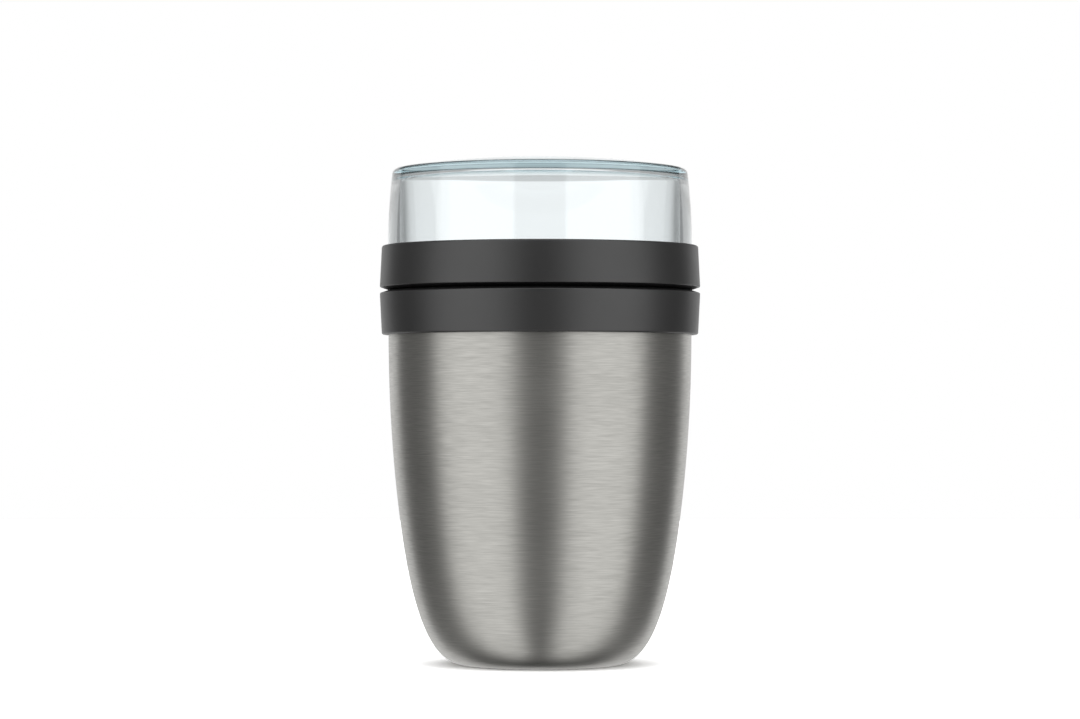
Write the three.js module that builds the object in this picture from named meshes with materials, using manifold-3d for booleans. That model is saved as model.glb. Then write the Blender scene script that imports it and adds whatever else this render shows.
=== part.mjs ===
// Insulated lunch pot: a vacuum steel pot with a black collar, a black screw lid that is the ring above
// the collar, and a clear cup screwed mouth down into the lid. Millimetres, +Z up, standing on z = 0.

import * as THREE from 'three';
import { mergeVertices } from 'three/addons/utils/BufferGeometryUtils.js';
import Module from 'manifold-3d';

const wasm = await Module();
wasm.setup();

// Facets and fits
const roundFacets = 36; // facets in a full turn of a large piece
const smallFacets = 20; // facets in a full turn of a small piece
const weldDistance = 1e-4; // corners closer than this are one corner
const fitGap = 0.3; // gap between pieces that sit together
const turnGap = 0.4; // gap between pieces that turn in each other

// Steel pot, outside
const vesselRadius = 52; // widest radius of the steel, at the shoulder
const collarBottom = 112.9; // height of the collar's lower edge
const shoulderRise = 0.6; // from there up to where the steel's side is upright
const sideHalfHeight = 167; // half height of the ellipse that the side follows
const footStart = 45; // height where the side begins to turn into the foot
const footRadius = 26; // outer radius of the flat ring that it stands on
const footFlat = 5; // width of that flat ring
const footSidePull = 0.77; // how far the foot's curve follows the side, as a share of its height
const footFloorPull = 0.42; // how far it follows the floor, as a share of its width
const shellWall = 0.6;
const neckHeight = 4.8; // steel neck inside the collar
const snapDepth = 0.7; // rolled groove in the neck that holds the collar
const snapHalfHeight = 0.4;
const snapSlope = 0.5; // height of the slope on each side of the groove

// Steel pot, inside
const vacuumGap = 4;
const vesselWall = 0.5;
const floorGap = 3.8; // from the turned-up rim in the foot to the inner vessel's underside
const vesselFootRadius = 24; // radius of the flat part of that underside
const lipThickness = 0.5; // rolled lip that joins the two walls at the mouth
const foilThickness = 0.3;
const coverRecess = 0.5; // base cover above the floor
const coverThickness = 0.8;
const coverChamfer = 0.3;
const dishRim = 2.4; // height of the closing dish and of the shell's rim turned up round it
const dishWall = 0.6;
const evacuationRadius = 1.2; // hole through which the vacuum is drawn
const beadLap = 1.4; // how far the bead covers the dish round the hole
const beadHeight = 0.9;
const getterRadius = 4;
const getterHeight = 1.5;
const getterInset = 9.7; // from the closing dish's edge in to the pellet's middle

// Black rings
const ringProud = 3; // how far the rings stand out from the steel
const ringTaper = 0.7; // how much slimmer each ring is at the edge away from the groove
const ringRound = 0.8; // rounding of that edge
const grooveDepth = 2.7; // groove between the two rings
const grooveRise = 0.9; // height of the slope on each side of the groove
const collarTopWall = 1.3; // wall left between the groove and the thread
const sealThickness = 0.7; // flat ring under the collar's inner flange
const flangeThickness = 1.2; // the collar's inner flange
const flangeReach = 0.5; // how far that flange stands in past the thread
const collarThreadHeight = 7.05;
const lidFloorThickness = 2;
const lidSocketDepth = 12.15; // from the lid's floor up to the top of its ring
const lidRimWall = 1.7; // wall of the lid's ring at its top
const skirtWall = 1.8; // threaded skirt under the lid

// Threads, right-handed with several starts
const threadStarts = 4;
const threadLead = 18; // rise in one turn
const threadDepth = 1.2;
const threadSlack = 0.45; // axial room beside each ridge
const threadMargin = 0.3; // plain stretch above and below the ridges
const threadEmbed = 0.4; // how far a ridge is rooted in its wall
const ridgeCrestShare = 0.5; // width of a ridge's crest as a share of its root
const ridgeEndShare = 0.3; // height of a ridge at its two ends
const ridgeStep = Math.PI / 18; // angle between two sections of a ridge

// Plug under the lid
const plugRoom = 1.2; // between the plug and the mouth
const plugDepth = 9.8; // how far the plug reaches below the steel lip
const plugWall = 1.6;
const plugRound = 2;
const plugLipHeight = 0.6; // small lip that keeps the seal on the plug
const plugFlangeHeight = 1.2; // flange that presses the seal down
const lidSealHeight = 2.2;
const lidSealRound = 0.6;

// Clear cup
const cupSealHeight = 1.6;
const cupSealInset = 0.2; // how far the seal ring stays inside the cup's skirt
const cupShoulderDrop = 1.9; // the full wall starts this far below the lid's rim
const cupShoulderSlope = 0.8;
const cupRise = 30.2; // crown of the dome above the lid's rim
const cupWall = 4;
const cupBowRadius = 216; // above the lid's rim the side bows in along an arc of this radius
const cupInnerBowRadius = 960; // the same on the inside, so the wall thins towards the top
const domeRadius = 325; // top of the cup
const cupEdgeThickness = 2.4; // plastic above the flat ceiling at the level of the outer edge
const cupEdgeRound = 1.9; // rounding of the outer edge, in over the dome
const cupEdgeDrop = 1.5; // the same, down the side
const ceilingRound = 2.9; // rounding of the inner edge

// Steps along curved stretches of a section
const sideSteps = 4;
const footSteps = 6;
const cupSideSteps = 3;
const domeSteps = 3;
const roundSteps = 3;
const edgeSteps = 2;

// Levels, from the floor up
const coverTop = coverRecess + coverThickness;
const beadBottom = coverTop + fitGap;
const beadTop = beadBottom + beadHeight;
const dishBottom = beadTop + fitGap;
const dishFloor = dishBottom + dishWall;
const rimTop = dishBottom + dishRim;
const vesselFloor = rimTop + floorGap;
const shoulderLevel = collarBottom + shoulderRise;
const neckTop = collarBottom + neckHeight;
const snapLevel = (shoulderLevel + neckTop) / 2;
const lipBottom = neckTop + fitGap;
const lipTop = lipBottom + lipThickness;
const collarSealBottom = lipTop + fitGap;
const collarSealTop = collarSealBottom + sealThickness;
const flangeBottom = collarSealTop + fitGap;
const flangeTop = flangeBottom + flangeThickness;
const skirtBottom = flangeTop + turnGap;
const collarTop = flangeTop + collarThreadHeight;
const lidBottomFace = collarTop + fitGap;
const lidFloorBottom = lidBottomFace + grooveRise;
const lidFloorTop = lidFloorBottom + lidFloorThickness;
const lidTop = lidFloorTop + lidSocketDepth;
const lidSealBottom = lipTop + fitGap;
const lidSealTop = lidSealBottom + lidSealHeight;
const plugBottom = lipTop - plugDepth;
const plugTop = lidFloorBottom - fitGap;
const cupSealBottom = lidFloorTop + fitGap;
const cupSealTop = cupSealBottom + cupSealHeight;
const cupBottom = cupSealTop + fitGap;
const cupShoulder = lidTop - cupShoulderDrop;
const cupTop = lidTop + cupRise;

// Radii, from the outside in
const ringRadius = vesselRadius + ringProud;
const ringEdgeRadius = ringRadius - ringTaper;
const grooveRadius = ringRadius - grooveDepth;
const collarBore = vesselRadius + fitGap;
const collarThreadBore = grooveRadius - collarTopWall;
const lidThreadCrest = collarThreadBore - turnGap;
const lidThreadRoot = lidThreadCrest - threadDepth;
const collarThreadCrest = lidThreadRoot + turnGap;
const flangeInner = collarThreadCrest - flangeReach;
const skirtInner = lidThreadRoot - skirtWall;
const lidBore = ringEdgeRadius - lidRimWall;
const cupRadius = lidBore - turnGap;
const cupThreadRoot = cupRadius - threadDepth;
const lidSocketCrest = cupThreadRoot + turnGap;
const cupInner = cupRadius - cupWall;
const mouthInset = shellWall + vacuumGap;
const mouthRadius = vesselRadius - mouthInset - vesselWall;
const plugRadius = mouthRadius - plugRoom;
const plugLipRadius = mouthRadius - turnGap;
const plugFlangeRadius = skirtInner - fitGap;
const lidSealInner = plugRadius + fitGap;
const lidSealOuter = flangeInner - turnGap;
const rimRadius = footRadius - footFlat;
const dishRadius = rimRadius - fitGap;
const getterOffset = dishRadius - getterInset;

// Thread ridge width, from the room between two starts
const threadPitch = threadLead / threadStarts;
const ridgeWidth = threadPitch / 2 - threadSlack;

const at = (radius, height) => new THREE.Vector2(radius, height);

// A point of a section moved a given distance towards another
function towards(from, to, distance) {
  const direction = to.clone().sub(from).normalize();
  return from.clone().addScaledVector(direction, distance);
}

// A corner of a section, rounded over a given distance on each side
function rounded(before, corner, after, distance, steps) {
  const start = towards(corner, before, distance);
  const end = towards(corner, after, distance);
  return new THREE.QuadraticBezierCurve(start, corner, end).getPoints(steps);
}

// A closed body: positions only, shared corners merged, no empty triangles, faces pointing out
function closedBody(source) {
  const bare = source.clone();
  bare.deleteAttribute('normal');
  bare.deleteAttribute('uv');
  const merged = mergeVertices(bare, weldDistance);
  const corners = merged.getAttribute('position');
  const index = merged.getIndex();
  const faces = [];
  for (let i = 0; i < index.count; i += 3) {
    const face = [index.getX(i), index.getX(i + 1), index.getX(i + 2)];
    if (new Set(face).size === face.length) {
      faces.push(...face);
    }
  }
  merged.setIndex(signedVolume(corners, faces) < 0 ? faces.reverse() : faces);
  merged.computeVertexNormals();
  return merged;
}

// Six times the volume inside a mesh, negative where its faces point in
function signedVolume(corners, faces) {
  const [a, b, c] = [new THREE.Vector3(), new THREE.Vector3(), new THREE.Vector3()];
  let total = 0;
  for (let i = 0; i < faces.length; i += 3) {
    a.fromBufferAttribute(corners, faces[i]);
    b.fromBufferAttribute(corners, faces[i + 1]);
    c.fromBufferAttribute(corners, faces[i + 2]);
    total += a.dot(b.cross(c));
  }
  return total;
}

// A section turned about the upright axis
function turned(section, facets = roundFacets) {
  const lathe = new THREE.LatheGeometry(section, facets);
  lathe.rotateX(Math.PI / 2);
  return closedBody(lathe);
}

// A section that stays clear of the axis, closed on itself and turned
function turnedRing(section, facets = roundFacets) {
  return turned([...section, section[0].clone()], facets);
}

// A plain ring with a rectangular section
function flatRing(inner, outer, bottom, top) {
  return turnedRing([at(inner, bottom), at(outer, bottom), at(outer, top), at(inner, top)]);
}

function toSolid(geometry) {
  const mesh = new wasm.Mesh({
    numProp: 3,
    vertProperties: new Float32Array(geometry.getAttribute('position').array),
    triVerts: new Uint32Array(geometry.getIndex().array),
  });
  return new wasm.Manifold(mesh);
}

// A body with others joined to it
function joined(base, additions) {
  const whole = additions.reduce((sum, piece) => sum.add(toSolid(piece)), toSolid(base));
  const mesh = whole.getMesh();
  const geometry = new THREE.BufferGeometry();
  geometry.setAttribute('position', new THREE.BufferAttribute(mesh.vertProperties, mesh.numProp));
  geometry.setIndex(new THREE.BufferAttribute(mesh.triVerts, 1));
  return closedBody(geometry);
}

// One thread ridge: a section with four corners carried up a helix
function threadRidge(root, crest, bottom, top, startAngle) {
  const low = bottom + threadMargin + ridgeWidth / 2;
  const rise = top - threadMargin - ridgeWidth / 2 - low;
  const sweep = (rise / threadLead) * 2 * Math.PI;
  const steps = Math.max(edgeSteps, Math.ceil(sweep / ridgeStep));
  const rootHalf = ridgeWidth / 2;
  const crestHalf = rootHalf * ridgeCrestShare;
  const sides = 4;
  const positions = [];
  const faces = [];
  for (let i = 0; i <= steps; i += 1) {
    const angle = startAngle + (sweep * i) / steps;
    const level = low + (rise * i) / steps;
    const height = i === 0 || i === steps ? ridgeEndShare : 1;
    const tip = THREE.MathUtils.lerp(root, crest, height);
    const section = [[root, -rootHalf], [tip, -crestHalf], [tip, crestHalf], [root, rootHalf]];
    for (const [radius, offset] of section) {
      positions.push(radius * Math.cos(angle), radius * Math.sin(angle), level + offset);
    }
  }
  for (let i = 0; i < steps; i += 1) {
    for (let side = 0; side < sides; side += 1) {
      const next = (side + 1) % sides;
      const from = i * sides;
      const to = from + sides;
      faces.push(from + side, to + side, to + next, from + side, to + next, from + next);
    }
  }
  const last = steps * sides;
  faces.push(0, 1, 2, 0, 2, 3);
  faces.push(last, last + 2, last + 1, last, last + 3, last + 2);
  const ridge = new THREE.BufferGeometry();
  ridge.setAttribute('position', new THREE.Float32BufferAttribute(positions, 3));
  ridge.setIndex(faces);
  return closedBody(ridge);
}

// All starts of a thread. An inner thread is turned by half a start, so that it lies between the ridges
// of its outer thread and stays there as the two are screwed apart.
function thread(wall, crest, bottom, top, isInner) {
  const root = wall + Math.sign(wall - crest) * threadEmbed;
  const startAngle = (2 * Math.PI) / threadStarts;
  const firstAngle = isInner ? startAngle / 2 : 0;
  const starts = Array.from({ length: threadStarts }, (_, i) => firstAngle + i * startAngle);
  return starts.map((angle) => threadRidge(root, crest, bottom, top, angle));
}

// Outer radius of the steel's side at a given height
function sideRadius(height) {
  const share = (shoulderLevel - height) / sideHalfHeight;
  return vesselRadius * Math.sqrt(1 - share * share);
}

// How fast that radius grows with the height
function sideSlope(height) {
  const flatness = vesselRadius / sideHalfHeight;
  return (flatness * flatness * (shoulderLevel - height)) / sideRadius(height);
}

// The side's section from the start of the foot up to the shoulder, drawn in by an inset
function sideSection(inset) {
  const levels = Array.from({ length: sideSteps + 1 }, (_, i) => i / sideSteps);
  return levels.map((share) => {
    const height = THREE.MathUtils.lerp(footStart, shoulderLevel, share);
    return at(sideRadius(height) - inset, height);
  });
}

// The foot's section from its flat part up to the start of the side, drawn in by an inset
function footSection(inset, floor, flatRadius) {
  const side = at(sideRadius(footStart) - inset, footStart);
  const drop = footSidePull * (footStart - floor);
  const sideControl = at(side.x - sideSlope(footStart) * drop, footStart - drop);
  const flat = at(flatRadius, floor);
  const flatControl = at(flatRadius + footFloorPull * (side.x - flatRadius), floor);
  return new THREE.CubicBezierCurve(flat, flatControl, sideControl, side).getPoints(footSteps);
}

// Foot and side together
function wallSection(inset, floor, flatRadius) {
  return [...footSection(inset, floor, flatRadius), ...sideSection(inset).slice(1)];
}

// The rolled snap groove in a wall of a given radius, from the bottom up
function snapSection(radius) {
  const half = snapHalfHeight + snapSlope;
  return [
    at(radius, snapLevel - half),
    at(radius - snapDepth, snapLevel - snapHalfHeight),
    at(radius - snapDepth, snapLevel + snapHalfHeight),
    at(radius, snapLevel + half),
  ];
}

// Steel pot
function outerShell() {
  const inside = vesselRadius - shellWall;
  return turnedRing([
    ...wallSection(0, 0, footRadius),
    ...snapSection(vesselRadius),
    at(vesselRadius, neckTop),
    at(inside, neckTop),
    ...snapSection(inside).reverse(),
    ...wallSection(shellWall, shellWall, footRadius).reverse(),
    at(rimRadius + shellWall, shellWall),
    at(rimRadius + shellWall, rimTop),
    at(rimRadius, rimTop),
    at(rimRadius, 0),
  ]);
}

function innerVessel() {
  return turned([
    at(0, vesselFloor),
    ...wallSection(mouthInset, vesselFloor, vesselFootRadius),
    at(vesselRadius - mouthInset, lipBottom),
    at(vesselRadius, lipBottom),
    at(vesselRadius, lipTop),
    at(mouthRadius, lipTop),
    ...wallSection(mouthInset + vesselWall, vesselFloor + vesselWall, vesselFootRadius).reverse(),
    at(0, vesselFloor + vesselWall),
  ]);
}

function reflectorFoil() {
  const inner = mouthInset - fitGap;
  return turnedRing([...sideSection(inner - foilThickness), ...sideSection(inner).reverse()]);
}

function outerBottom() {
  return turnedRing([
    at(evacuationRadius, dishBottom),
    at(dishRadius, dishBottom),
    at(dishRadius, rimTop),
    at(dishRadius - dishWall, rimTop),
    at(dishRadius - dishWall, dishFloor),
    at(evacuationRadius, dishFloor),
  ]);
}

// The bead under the hole, with a stem that fills it
function vacuumSealBead() {
  const radius = evacuationRadius + beadLap;
  const stem = evacuationRadius - fitGap;
  const dome = new THREE.QuadraticBezierCurve(at(0, beadBottom), at(radius, beadBottom), at(radius, beadTop));
  return turned([
    ...dome.getPoints(roundSteps),
    at(stem, beadTop),
    at(stem, dishFloor),
    at(0, dishFloor),
  ], smallFacets);
}

function baseCover() {
  return turned([
    at(0, coverRecess),
    at(dishRadius - coverChamfer, coverRecess),
    at(dishRadius, coverRecess + coverChamfer),
    at(dishRadius, coverTop),
    at(0, coverTop),
  ]);
}

function getterPellet() {
  const pellet = new THREE.CylinderGeometry(getterRadius, getterRadius, getterHeight, smallFacets);
  pellet.rotateX(Math.PI / 2);
  return closedBody(pellet);
}

// Collar
function collar() {
  const bottomEdge = at(ringEdgeRadius, collarBottom);
  const grooveEdge = at(ringRadius, collarTop - grooveRise);
  const body = turnedRing([
    at(collarBore, collarBottom),
    ...rounded(at(collarBore, collarBottom), bottomEdge, grooveEdge, ringRound, edgeSteps),
    grooveEdge,
    at(grooveRadius, collarTop),
    at(collarThreadBore, collarTop),
    at(collarThreadBore, flangeTop),
    at(flangeInner, flangeTop),
    at(flangeInner, flangeBottom),
    at(collarBore, flangeBottom),
    ...snapSection(collarBore).reverse(),
  ]);
  return joined(body, thread(collarThreadBore, collarThreadCrest, skirtBottom, collarTop, true));
}

function collarSeal() {
  return flatRing(flangeInner + fitGap, vesselRadius, collarSealBottom, collarSealTop);
}

// Lid
function lidBody() {
  const grooveEdge = at(ringRadius, lidBottomFace + grooveRise);
  const topEdge = at(ringEdgeRadius, lidTop);
  const body = turned([
    at(0, lidFloorBottom),
    at(skirtInner, lidFloorBottom),
    at(skirtInner, skirtBottom),
    at(lidThreadRoot, skirtBottom),
    at(lidThreadRoot, lidBottomFace),
    at(grooveRadius, lidBottomFace),
    grooveEdge,
    ...rounded(grooveEdge, topEdge, at(lidBore, lidTop), ringRound, edgeSteps),
    at(lidBore, lidTop),
    at(lidBore, lidFloorTop),
    at(0, lidFloorTop),
  ]);
  const skirtThread = thread(lidThreadRoot, lidThreadCrest, skirtBottom, collarTop, false);
  const socketThread = thread(lidBore, lidSocketCrest, cupBottom, cupShoulder - cupShoulderSlope, true);
  return joined(body, [...skirtThread, ...socketThread]);
}

function lidBottom() {
  const lipTopLevel = lidSealBottom - fitGap;
  const flangeLevel = lidSealTop + fitGap;
  const inside = plugRadius - plugWall;
  const floorEdge = at(plugRadius, plugBottom);
  return turned([
    at(0, plugBottom),
    ...rounded(at(0, plugBottom), floorEdge, at(plugRadius, lipTopLevel), plugRound, roundSteps),
    at(plugRadius, lipTopLevel - 2 * plugLipHeight),
    at(plugLipRadius, lipTopLevel - plugLipHeight),
    at(plugLipRadius, lipTopLevel),
    at(plugRadius, lipTopLevel),
    at(plugRadius, flangeLevel),
    at(plugFlangeRadius, flangeLevel),
    at(plugFlangeRadius, flangeLevel + plugFlangeHeight),
    at(plugRadius, flangeLevel + plugFlangeHeight),
    at(plugRadius, plugTop),
    at(inside, plugTop),
    at(inside, plugBottom + plugWall),
    at(0, plugBottom + plugWall),
  ]);
}

function lidFoam() {
  const radius = plugRadius - plugWall - fitGap;
  const bottom = plugBottom + plugWall + fitGap;
  return turned([at(0, bottom), at(radius, bottom), at(radius, plugTop), at(0, plugTop)]);
}

function lidSeal() {
  const outerLow = at(lidSealOuter, lidSealBottom);
  const outerHigh = at(lidSealOuter, lidSealTop);
  const innerLow = at(lidSealInner, lidSealBottom);
  const innerHigh = at(lidSealInner, lidSealTop);
  return turnedRing([
    innerLow,
    ...rounded(innerLow, outerLow, outerHigh, lidSealRound, edgeSteps),
    ...rounded(outerLow, outerHigh, innerHigh, lidSealRound, edgeSteps),
    innerHigh,
  ]);
}

// Clear cup
function cupSideRadius(height) {
  return bowedIn(cupRadius, height, cupBowRadius);
}

function cupInnerRadius(height) {
  return bowedIn(cupInner, height, cupInnerBowRadius);
}

function bowedIn(radius, height, bowRadius) {
  const rise = Math.max(0, height - lidTop);
  return radius - (rise * rise) / (2 * bowRadius);
}

function domeLevel(radius) {
  return cupTop - (radius * radius) / (2 * domeRadius);
}

// A bowed side's section from one height up to another
function cupSideSection(radiusAt, from, to) {
  const shares = Array.from({ length: cupSideSteps + 1 }, (_, i) => i / cupSideSteps);
  return shares.map((share) => {
    const height = THREE.MathUtils.lerp(from, to, share);
    return at(radiusAt(height), height);
  });
}

function clearCup() {
  const edgeLevel = domeLevel(cupSideRadius(domeLevel(cupRadius)));
  const ceilingLevel = edgeLevel - cupEdgeThickness;
  const edge = at(cupSideRadius(edgeLevel), edgeLevel);
  const outside = cupSideSection(cupSideRadius, cupShoulder, edgeLevel - cupEdgeDrop);
  const domeStart = edge.x - cupEdgeRound;
  const dome = Array.from({ length: domeSteps + 1 }, (_, i) => {
    const radius = (domeStart * i) / domeSteps;
    return at(radius, domeLevel(radius));
  });
  const edgeCurve = new THREE.QuadraticBezierCurve(dome[domeSteps], edge, outside[cupSideSteps]);
  const inside = cupSideSection(cupInnerRadius, cupShoulder, ceilingLevel - ceilingRound);
  const innerEdge = at(cupInnerRadius(ceilingLevel), ceilingLevel);
  const body = turned([
    ...dome,
    ...edgeCurve.getPoints(roundSteps).slice(1),
    ...outside.reverse().slice(1),
    at(cupThreadRoot, cupShoulder - cupShoulderSlope),
    at(cupThreadRoot, cupBottom),
    at(cupInner, cupBottom),
    ...inside,
    ...rounded(inside[inside.length - 1], innerEdge, at(0, ceilingLevel), ceilingRound, roundSteps).slice(1),
    at(0, ceilingLevel),
  ]);
  return joined(body, thread(cupThreadRoot, cupRadius, cupBottom, cupShoulder - cupShoulderSlope, false));
}

function cupSeal() {
  return flatRing(cupInner, cupThreadRoot - cupSealInset, cupSealBottom, cupSealTop);
}

// Finishes
const brushedSteel = { color: 0xb9b8b2, roughness: 0.35, metalness: 1 };
const plainSteel = { color: 0xc4c4c0, roughness: 0.3, metalness: 1 };
const blackPlastic = { color: 0x2a2a2b, roughness: 0.6, metalness: 0 };
const clearPlastic = { color: 0xe6f2f5, roughness: 0.05, metalness: 0, transparent: true, opacity: 0.35 };
const silicone = { color: 0xd8d8d4, roughness: 0.7, metalness: 0 };
const copperFoil = { color: 0xb8734a, roughness: 0.3, metalness: 1 };
const whiteFoam = { color: 0xf0ede2, roughness: 0.95, metalness: 0 };
const greyPellet = { color: 0x77787a, roughness: 0.8, metalness: 0.4 };
const sealGlass = { color: 0x9aa39a, roughness: 0.25, metalness: 0 };

function piece(name, geometry, finish) {
  const mesh = new THREE.Mesh(geometry, new THREE.MeshStandardMaterial(finish));
  mesh.name = name;
  return mesh;
}

const getter = piece('getter', getterPellet(), greyPellet);
getter.position.set(getterOffset, 0, dishFloor + fitGap + getterHeight / 2);

const pot = new THREE.Group();
pot.add(
  piece('outer_shell', outerShell(), brushedSteel),
  piece('inner_vessel', innerVessel(), plainSteel),
  piece('reflector_foil', reflectorFoil(), copperFoil),
  piece('outer_bottom', outerBottom(), plainSteel),
  piece('vacuum_seal_bead', vacuumSealBead(), sealGlass),
  piece('base_cover', baseCover(), blackPlastic),
  getter,
  piece('collar', collar(), blackPlastic),
  piece('collar_seal', collarSeal(), silicone),
);

const lid = new THREE.Group();
lid.add(
  piece('lid_body', lidBody(), blackPlastic),
  piece('lid_bottom', lidBottom(), blackPlastic),
  piece('lid_foam', lidFoam(), whiteFoam),
  piece('lid_seal', lidSeal(), silicone),
);

const cup = new THREE.Group();
cup.add(
  piece('clear_cup', clearCup(), clearPlastic),
  piece('cup_seal', cupSeal(), silicone),
);

const lunchPot = new THREE.Group();
lunchPot.add(pot, lid, cup);

export default lunchPot;
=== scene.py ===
import math

import bmesh
import bpy
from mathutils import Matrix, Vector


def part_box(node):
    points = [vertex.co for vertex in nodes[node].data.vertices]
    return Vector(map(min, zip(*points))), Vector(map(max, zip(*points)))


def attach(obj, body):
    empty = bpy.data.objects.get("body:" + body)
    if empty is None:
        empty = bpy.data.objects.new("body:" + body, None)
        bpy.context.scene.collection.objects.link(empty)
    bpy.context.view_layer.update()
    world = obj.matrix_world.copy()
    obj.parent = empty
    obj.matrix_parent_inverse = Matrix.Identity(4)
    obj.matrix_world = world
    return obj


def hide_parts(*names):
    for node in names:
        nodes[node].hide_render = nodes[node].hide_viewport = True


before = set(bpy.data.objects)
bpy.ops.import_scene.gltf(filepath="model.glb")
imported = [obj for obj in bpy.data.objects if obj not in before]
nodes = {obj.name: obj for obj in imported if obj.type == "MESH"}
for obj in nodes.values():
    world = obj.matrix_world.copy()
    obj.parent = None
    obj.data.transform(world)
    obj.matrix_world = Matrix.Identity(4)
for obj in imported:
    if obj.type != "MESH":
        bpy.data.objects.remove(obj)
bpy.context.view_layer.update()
scene = bpy.context.scene
mm = 0.001
print("frame loaded with", len(nodes), "nodes")


# outer radius, lowest and highest level of a CAD node, in millimetres
def spanOf(node):
    low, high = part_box(node)
    return high.x / mm, low.z / mm, high.z / mm


# nodes that the studio and the finishes share

# numbers are set on the sockets, other nodes are linked to them
def feed(tree, sockets, values):
    for socket, value in zip(sockets, values):
        if isinstance(value, (int, float)):
            socket.default_value = value
        elif value is not None:
            tree.links.new(value, socket)


def mathNode(tree, operation, *values):
    made = tree.nodes.new("ShaderNodeMath")
    made.operation = operation
    feed(tree, made.inputs, values)
    return made.outputs[0]


def mixNode(tree, share, first, second):
    made = tree.nodes.new("ShaderNodeMix")
    made.data_type = "FLOAT"
    feed(tree, made.inputs[:4], (share, None, first, second))
    return made.outputs[0]


def splitNode(tree, vector):
    made = tree.nodes.new("ShaderNodeSeparateXYZ")
    tree.links.new(vector, made.inputs[0])
    return made.outputs


# studio

view = {
    "distance": 1209.0,  # mm from the lens to the pot's axis
    "eyeLevel": 88.8,
    "lens": 117.3,
    "sensor": 36,
    "lookUp": 0.74,  # degrees
    "nearest": 10.0,  # mm, what is closer isn't drawn
}

# levels of light, and edges of it: an angle and its softness, in degrees
studio = {
    "dim": 0.16,  # the room round the lights
    "softbox": 1.22,  # two upright softboxes, left and right of the camera
    "softboxFrom": (20, 2),
    "softboxTo": (85, 2),
    "softboxReach": (79, 2),  # up and down
    "cardWide": (42, 2),  # white card behind the pot, to each side
    "cardDown": (-48, 2),
    "cardUp": (18, 2),
    "clearWide": (12, 2),  # the part of the card that shows through clear walls
    "clearUp": (5.5, 1.2),
    "clearCard": 1.03,  # its level, which the tint of two walls brings down to white
    "clearRim": 0.93,  # the same from an angle outwards
    "rimFrom": (5.9, 0.4),
    "clearShare": 0.85,  # the backdrop on every side, straight through both clear walls
    "clearSide": 0.22,  # the same between two angles to the side
    "sideFrom": (15.5, 4),
    "sideTo": (27, 3),
    "clearAbove": 0.68,  # the same above the card
    "clearBounced": 0.55,  # the same after a bounce inside a wall
    "clearRoom": 0.2,  # along the inside of one wall
    "roomWide": (90, 2),
    "clearLow": 0.65,  # the same below an angle
    "lowAt": (-3, 1),
    "clearDim": 0.42,  # the same above the card
    "plateCard": 0.88,  # along the inside of the cup's top
    "plateDim": 0.45,  # the same above an angle
    "plateUp": (8, 1),
    "plateWide": (72, 6),
    "overhead": 0.9,
    "overheadFrom": (55, 8),
    "frontFloor": 0.25,
    "frontFloorFrom": (-16, 8),
    "under": 0.05,  # the shade straight below the pot
    "underFrom": (-50, 10),
    "inPlastic": 0.5,  # surfaces passed and bounces made, halfway between whole numbers
    "bothWalls": 3.5,
    "bounced": 0.5,
    "bouncedTwice": 1.5,
    "wallBounces": 16,  # light bounces many times inside the cup's top
    "bounces": 24,
}

floorLook = {
    "size": 3.0,  # metres
    "drop": 0.0001,  # just under the foot
    "colour": 0.8,
    "seen": 2.55,  # so that the camera sees white paper
    "contact": 0.010,  # reach of the darker shadow round the foot
    "contactShade": 0.4,
}


def makeCamera():
    lens = bpy.data.cameras.new("photoCamera")
    lens.lens = view["lens"]
    lens.sensor_width = view["sensor"]
    lens.clip_start = view["nearest"] * mm
    camera = bpy.data.objects.new("photoCamera", lens)
    camera.location = (0, -view["distance"] * mm, view["eyeLevel"] * mm)
    camera.rotation_euler = (math.radians(90 + view["lookUp"]), 0, 0)
    scene.collection.objects.link(camera)
    scene.camera = camera


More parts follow.
